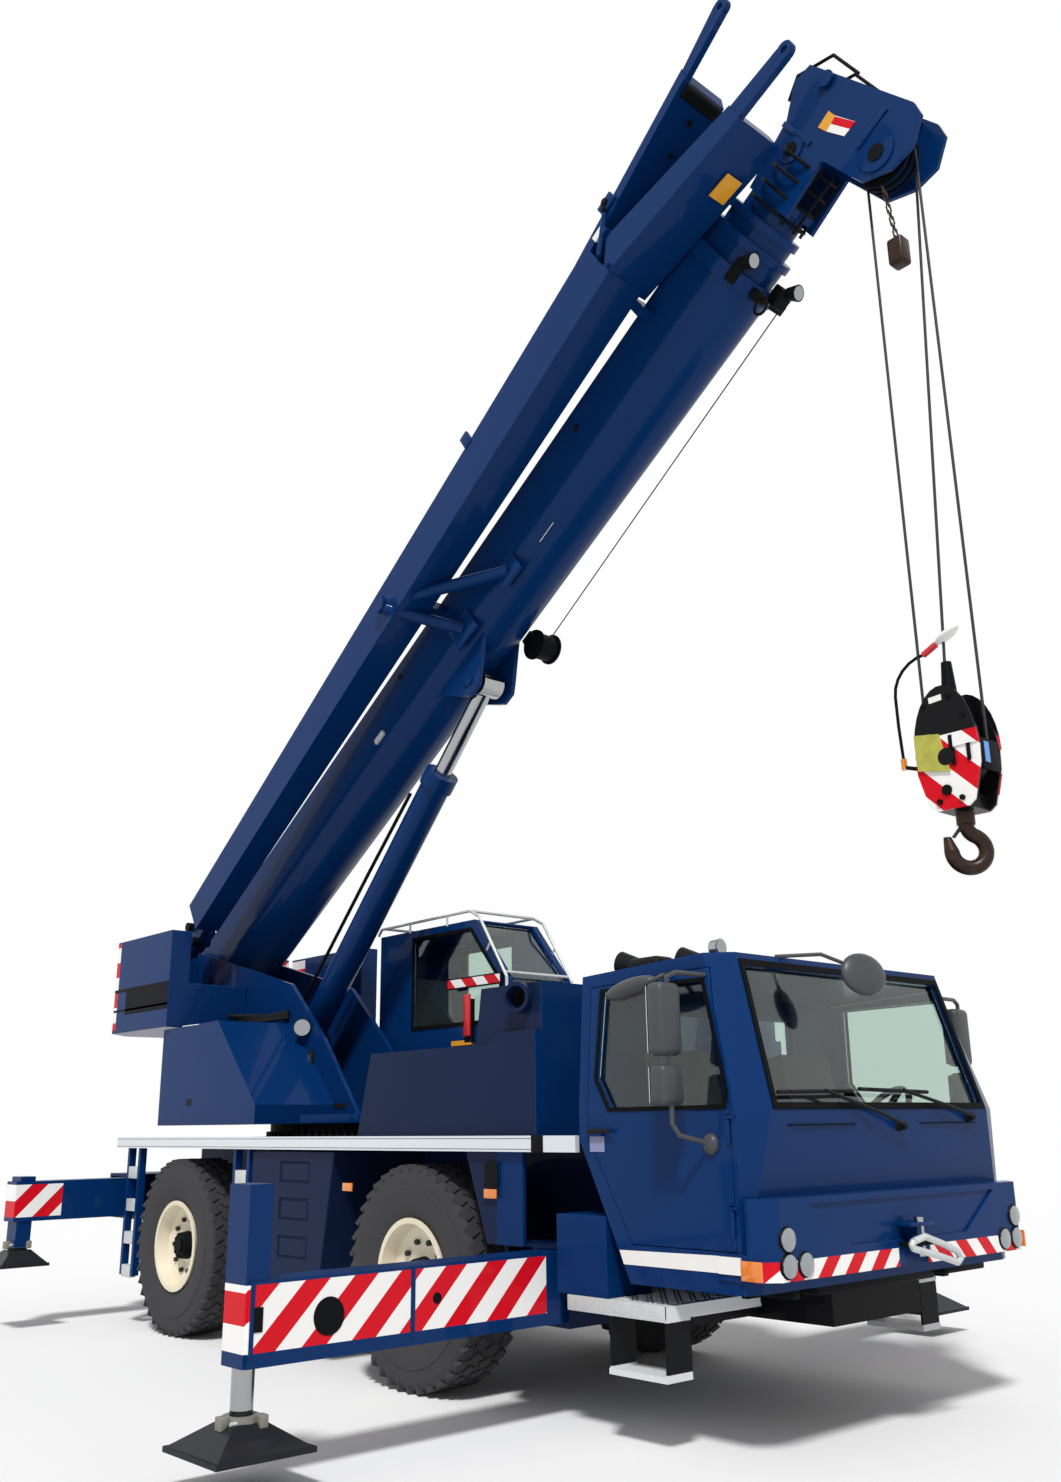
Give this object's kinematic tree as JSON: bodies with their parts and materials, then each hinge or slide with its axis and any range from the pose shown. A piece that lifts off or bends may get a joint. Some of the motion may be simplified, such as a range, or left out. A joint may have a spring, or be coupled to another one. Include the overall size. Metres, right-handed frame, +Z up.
{
  "type": "mobile crane",
  "caption": "Two-axle mobile crane with hollow cabs, a telescoping luffing boom, a stowed jib, outriggers and a hook block; it slews, steers, rolls, lifts and its doors open.",
  "frame": {"origin": "on the slewing axis at floor level", "axes": "+X towards the driver's cab, +Y to the crane's left, +Z up"},
  "size_m": [9.149, 6.74, 9.1867],
  "materials": {
    "blue_paint": "gloss",
    "dark_paint": "satin",
    "black_metal": "satin",
    "cream_paint": "gloss",
    "striped_paint": "gloss",
    "galvanised": "matt zinc",
    "rail_aluminium": "satin",
    "rod_chrome": "polished",
    "engine_iron": "rough",
    "tyre_rubber": "matt",
    "tinted_glass": "clear",
    "lamp_lens": "moulded",
    "black_plastic": "grained",
    "rope_steel": "stranded",
    "hook_iron": "forged"
  },
  "bodies": {
    "carrier": {"chassis_frame": "blue_paint", "slew_ring": "black_metal", "deck": "dark_paint", "deck_rails": "rail_aluminium", "engine_hood": "blue_paint", "engine_block": "engine_iron", "side_boxes": "dark_paint", "ladders": "galvanised", "cab_steps": "galvanised", "axles": "black_metal", "bumper": "blue_paint", "lamps": "lamp_lens", "cab_shell": "blue_paint", "cab_glass": "tinted_glass", "cab_interior": "black_plastic"},
    "upperworks": {"slewing_platform": "blue_paint", "counterweight": "blue_paint", "winch": "black_metal", "crane_cab_shell": "blue_paint", "crane_cab_glass": "tinted_glass", "crane_cab_seat": "black_plastic"},
    "crane_door": {"crane_cab_door": "blue_paint", "crane_cab_door_glass": "tinted_glass"},
    "boom": {"boom_base": "blue_paint", "luff_rod": "rod_chrome", "jib": "blue_paint"},
    "luff_barrel": {"luff_barrel": "blue_paint"},
    "tele_1": {"tele_1": "blue_paint"},
    "tele_2": {"tele_2": "blue_paint"},
    "tele_3": {"tele_3": "blue_paint"},
    "falls": {"rope_falls": "rope_steel"},
    "hook_block": {"hook_block": "black_metal"},
    "hook": {"hook": "hook_iron"},
    "cab_door_right": {"door_right": "blue_paint", "door_right_glass": "tinted_glass", "mirror_right": "black_plastic"},
    "cab_door_left": {"door_left": "blue_paint", "door_left_glass": "tinted_glass", "mirror_left": "black_plastic"},
    "steer_front_right": {"knuckle_front_right": "black_metal"},
    "wheel_front_right": {"tyre_front_right": "tyre_rubber", "rim_front_right": "cream_paint"},
    "beam_front_right": {"outrigger_beam_front_right": "striped_paint"},
    "jack_front_right": {"jack_front_right": "rod_chrome"},
    "steer_front_left": {"knuckle_front_left": "black_metal"},
    "wheel_front_left": {"tyre_front_left": "tyre_rubber", "rim_front_left": "cream_paint"},
    "beam_front_left": {"outrigger_beam_front_left": "striped_paint"},
    "jack_front_left": {"jack_front_left": "rod_chrome"},
    "steer_rear_right": {"knuckle_rear_right": "black_metal"},
    "wheel_rear_right": {"tyre_rear_right": "tyre_rubber", "rim_rear_right": "cream_paint"},
    "beam_rear_right": {"outrigger_beam_rear_right": "striped_paint"},
    "jack_rear_right": {"jack_rear_right": "rod_chrome"},
    "steer_rear_left": {"knuckle_rear_left": "black_metal"},
    "wheel_rear_left": {"tyre_rear_left": "tyre_rubber", "rim_rear_left": "cream_paint"},
    "beam_rear_left": {"outrigger_beam_rear_left": "striped_paint"},
    "jack_rear_left": {"jack_rear_left": "rod_chrome"}
  },
  "joints": [
    {"name": "cab_door_right_hinge", "type": "hinge", "parent": "carrier", "child": "cab_door_right", "pos_m": [5.35, -1.256, 1.35], "axis": [0, 0, 1], "range_deg": [0, 70]},
    {"name": "cab_door_left_hinge", "type": "hinge", "parent": "carrier", "child": "cab_door_left", "pos_m": [5.35, 1.256, 1.35], "axis": [0, 0, -1], "range_deg": [0, 70]},
    {"name": "steer_front_right", "type": "hinge", "parent": "carrier", "child": "steer_front_right", "pos_m": [2.62, -0.95, 0.685], "axis": [0, 0, -1], "range_deg": [-30, 30]},
    {"name": "spin_front_right", "type": "hinge", "parent": "steer_front_right", "child": "wheel_front_right", "pos_m": [2.62, -1.055, 0.685], "axis": [0, 1, 0], "continuous": true},
    {"name": "beam_front_right", "type": "slide", "parent": "carrier", "child": "beam_front_right", "axis": [0, 1, 0], "range_m": [0, 1.9]},
    {"name": "jack_front_right", "type": "slide", "parent": "beam_front_right", "child": "jack_front_right", "axis": [0, 0, 1], "range_m": [-0.16, 0.19]},
    {"name": "steer_front_left", "type": "hinge", "parent": "carrier", "child": "steer_front_left", "pos_m": [2.62, 0.95, 0.685], "axis": [0, 0, -1], "range_deg": [-30, 30]},
    {"name": "spin_front_left", "type": "hinge", "parent": "steer_front_left", "child": "wheel_front_left", "pos_m": [2.62, 1.055, 0.685], "axis": [0, 1, 0], "continuous": true},
    {"name": "beam_front_left", "type": "slide", "parent": "carrier", "child": "beam_front_left", "axis": [0, -1, 0], "range_m": [0, 1.9]},
    {"name": "jack_front_left", "type": "slide", "parent": "beam_front_left", "child": "jack_front_left", "axis": [0, 0, 1], "range_m": [-0.16, 0.19]},
    {"name": "steer_rear_right", "type": "hinge", "parent": "carrier", "child": "steer_rear_right", "pos_m": [-0.65, -0.95, 0.685], "axis": [0, 0, -1], "range_deg": [-30, 30]},
    {"name": "spin_rear_right", "type": "hinge", "parent": "steer_rear_right", "child": "wheel_rear_right", "pos_m": [-0.65, -1.055, 0.685], "axis": [0, 1, 0], "continuous": true},
    {"name": "beam_rear_right", "type": "slide", "parent": "carrier", "child": "beam_rear_right", "axis": [0, 1, 0], "range_m": [-0.86, 0.855]},
    {"name": "jack_rear_right", "type": "slide", "parent": "beam_rear_right", "child": "jack_rear_right", "axis": [0, 0, 1], "range_m": [-0.505, 0]},
    {"name": "steer_rear_left", "type": "hinge", "parent": "carrier", "child": "steer_rear_left", "pos_m": [-0.65, 0.95, 0.685], "axis": [0, 0, -1], "range_deg": [-30, 30]},
    {"name": "spin_rear_left", "type": "hinge", "parent": "steer_rear_left", "child": "wheel_rear_left", "pos_m": [-0.65, 1.055, 0.685], "axis": [0, 1, 0], "continuous": true},
    {"name": "beam_rear_left", "type": "slide", "parent": "carrier", "child": "beam_rear_left", "axis": [0, -1, 0], "range_m": [-0.86, 0.855]},
    {"name": "jack_rear_left", "type": "slide", "parent": "beam_rear_left", "child": "jack_rear_left", "axis": [0, 0, 1], "range_m": [-0.505, 0]},
    {"name": "slew", "type": "hinge", "parent": "carrier", "child": "upperworks", "pos_m": [0, 0, 1.64], "axis": [0, 0, 1], "continuous": true},
    {"name": "crane_door_slide", "type": "slide", "parent": "upperworks", "child": "crane_door", "axis": [-1, 0, 0], "range_m": [0, 0.7]},
    {"name": "luff", "type": "hinge", "parent": "upperworks", "child": "boom", "pos_m": [-2.05, 0, 3.05], "axis": [0, 1, 0], "range_deg": [-49, 33]},
    {"name": "luff_stroke", "type": "slide", "parent": "boom", "child": "luff_barrel", "axis": [0.6854, 0, 0.7282], "range_m": [-1.1, 0.75]},
    {"name": "tele_1_slide", "type": "slide", "parent": "boom", "child": "tele_1", "axis": [0.8387, 0, 0.5446], "range_m": [0, 6.93]},
    {"name": "tele_2_slide", "type": "slide", "parent": "tele_1", "child": "tele_2", "axis": [0.8387, 0, 0.5446], "range_m": [0, 6.93]},
    {"name": "tele_3_slide", "type": "slide", "parent": "tele_2", "child": "tele_3", "axis": [0.8387, 0, 0.5446], "range_m": [0, 6.93]},
    {"name": "falls_hang", "type": "hinge", "parent": "tele_3", "child": "falls", "pos_m": [6.15016, 0, 7.70037], "axis": [0, 1, 0], "range_deg": [-33, 49]},
    {"name": "hoist", "type": "slide", "parent": "falls", "child": "hook_block", "axis": [0, 0, 1], "range_m": [0, 2.6], "deforming": ["rope_falls"]},
    {"name": "hook_swivel", "type": "hinge", "parent": "hook_block", "child": "hook", "pos_m": [6.15016, 0, 3.25], "axis": [0, 0, 1], "continuous": true}
  ],
  "couplings": [
    {"joint": "steer_front_left", "follows": "steer_front_right", "ratio": 1},
    {"joint": "steer_rear_left", "follows": "steer_rear_right", "ratio": 1},
    {"joint": "luff_stroke", "follows": "luff", "m_per_rad": 1.25},
    {"joint": "falls_hang", "follows": "luff", "ratio": -1},
    {"joint": "tele_2_slide", "follows": "tele_1_slide", "ratio": 1},
    {"joint": "tele_3_slide", "follows": "tele_1_slide", "ratio": 1}
  ]
}
